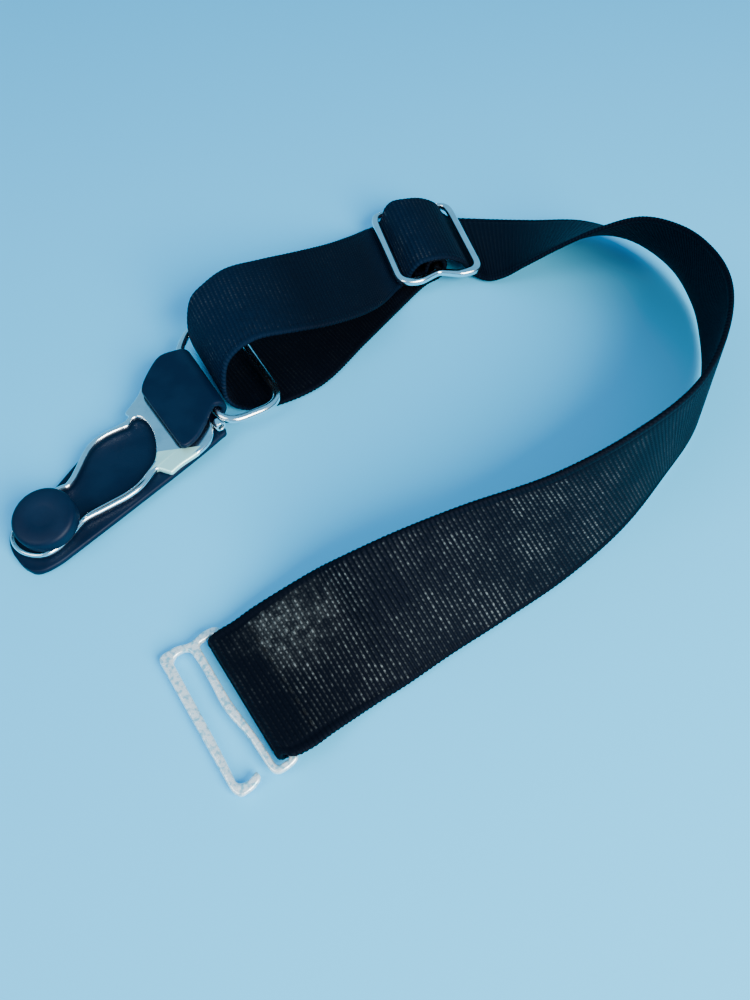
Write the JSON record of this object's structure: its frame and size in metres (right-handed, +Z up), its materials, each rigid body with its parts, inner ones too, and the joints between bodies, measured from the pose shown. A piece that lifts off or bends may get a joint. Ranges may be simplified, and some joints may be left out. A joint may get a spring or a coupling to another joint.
{
  "type": "sock suspender",
  "caption": "Sock suspender lying in a curve: black elastic strap with a stamped metal hook, a slider, a wire ring and a metal clip fastened over a rubber button.",
  "frame": {"origin": "middle of the object's base, on the table", "axes": "+Z up, +X to the right of the picture, +Y away from the viewer"},
  "size_m": [0.1366, 0.1418, 0.0262],
  "materials": {
    "webbing": "ribbed elastic webbing",
    "bright_metal": "polished nickel plate",
    "rubber": "smooth matte"
  },
  "bodies": {
    "root": {"elastic_strap": "webbing", "end_hook": "bright_metal", "strap_slider": "bright_metal", "wire_ring": "bright_metal", "clip_frame": "bright_metal", "clip_tongue": "rubber", "grip_button": "rubber"}
  },
  "joints": []
}
